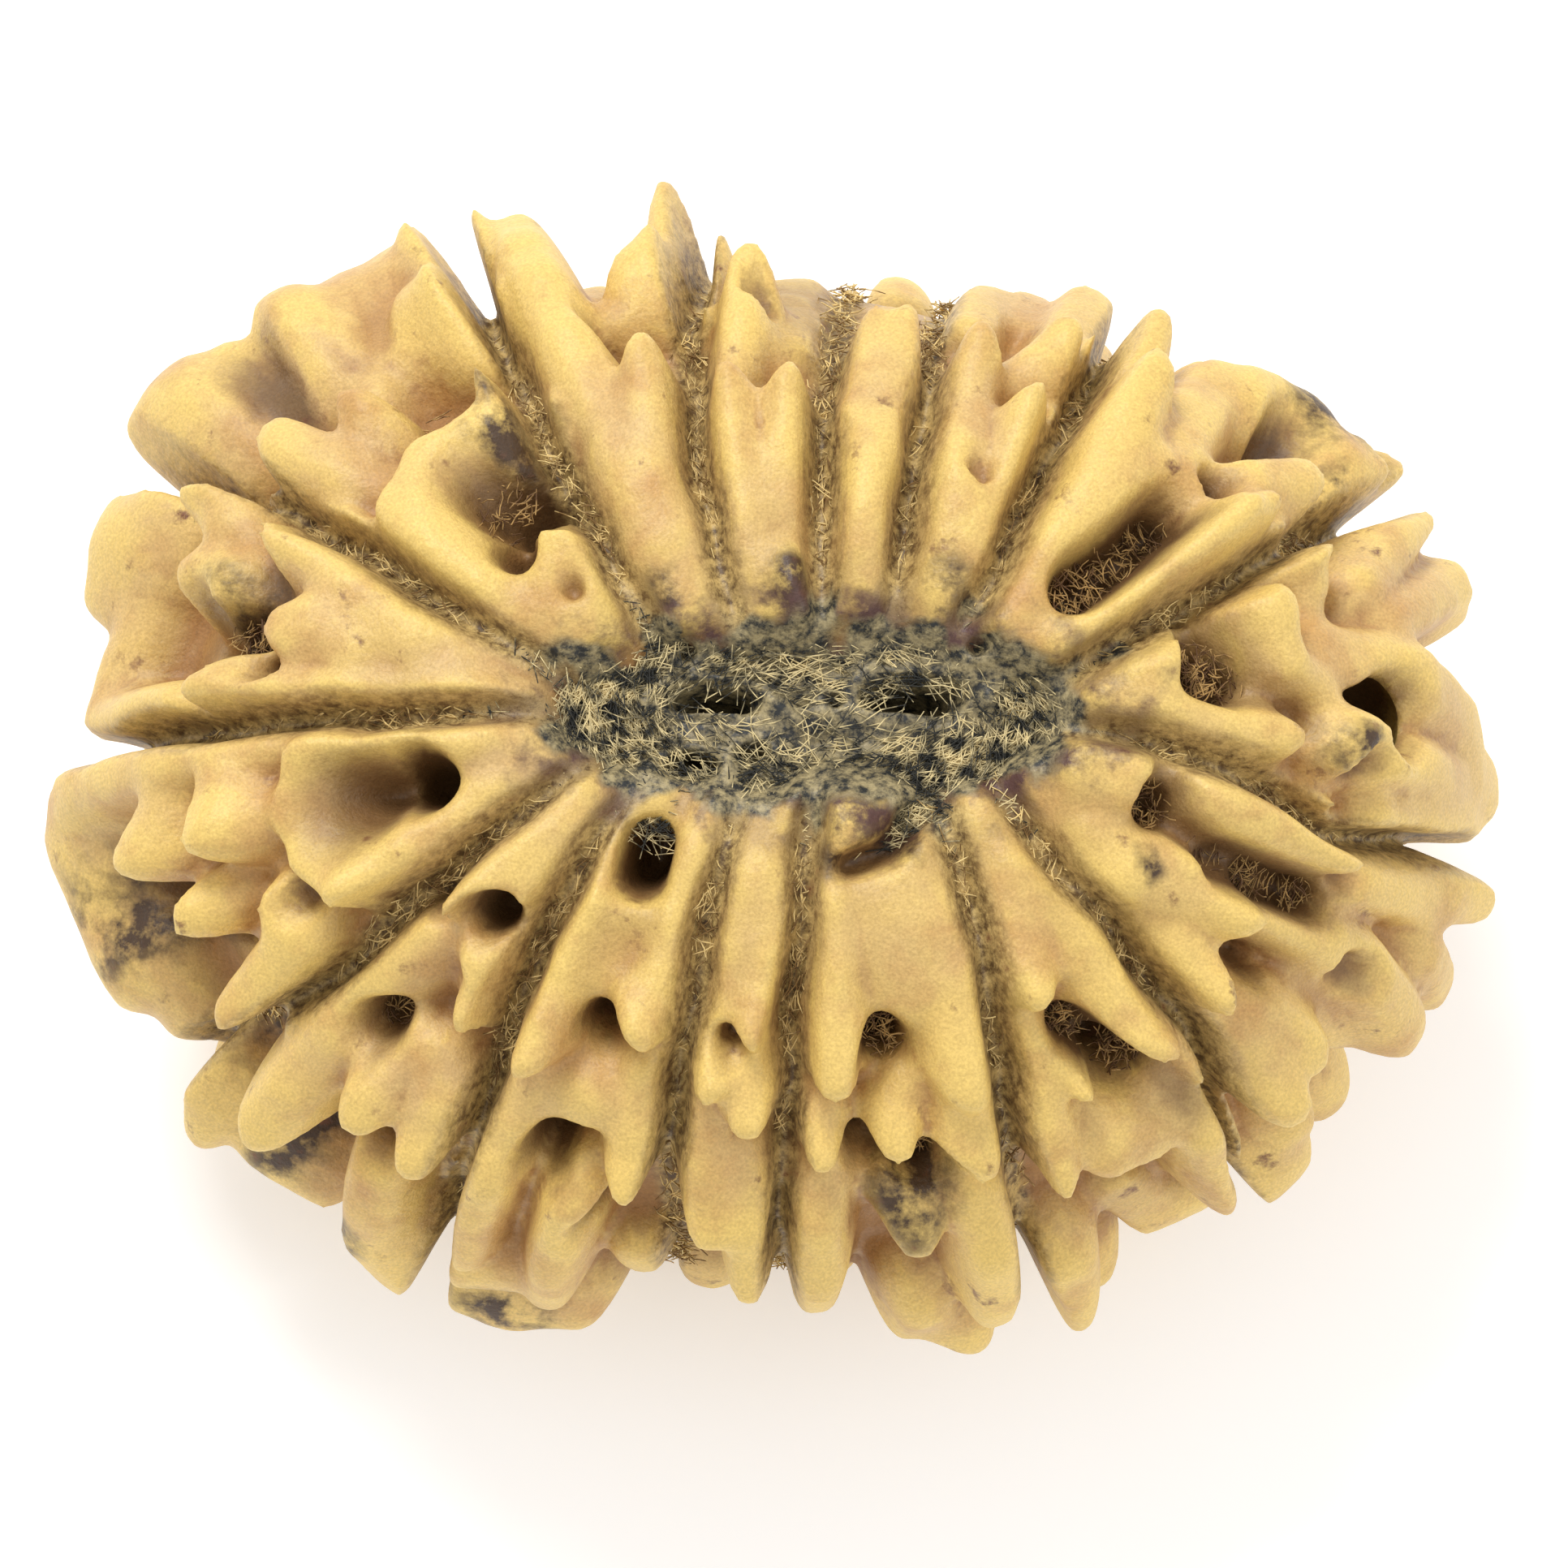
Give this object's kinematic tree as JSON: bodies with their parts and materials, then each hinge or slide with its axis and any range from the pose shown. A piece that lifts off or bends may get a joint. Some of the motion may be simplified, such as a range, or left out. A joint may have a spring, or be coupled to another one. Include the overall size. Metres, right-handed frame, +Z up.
{
  "type": "fifteen mukhi rudraksha bead",
  "caption": "Stony seed bead, flattened and oval, with knobbly ribs parted by deep grooves that run from pole to pole; lies on a small flat spot.",
  "frame": {"origin": "middle of the small flat resting spot round the lower pole", "axes": "+Z up along the line from pole to pole, +X along the bead's longest width, +Y across it"},
  "size_m": [0.0301, 0.024, 0.0162],
  "materials": {
    "shell": "matte, fine sandy grain, darker in the pits and grooves",
    "dried_fibre": "dried straw-brown fibre, matte",
    "seed": "glossy dark brown seed coat"
  },
  "bodies": {
    "root": {"bead": "shell", "seed": "seed"}
  },
  "joints": []
}
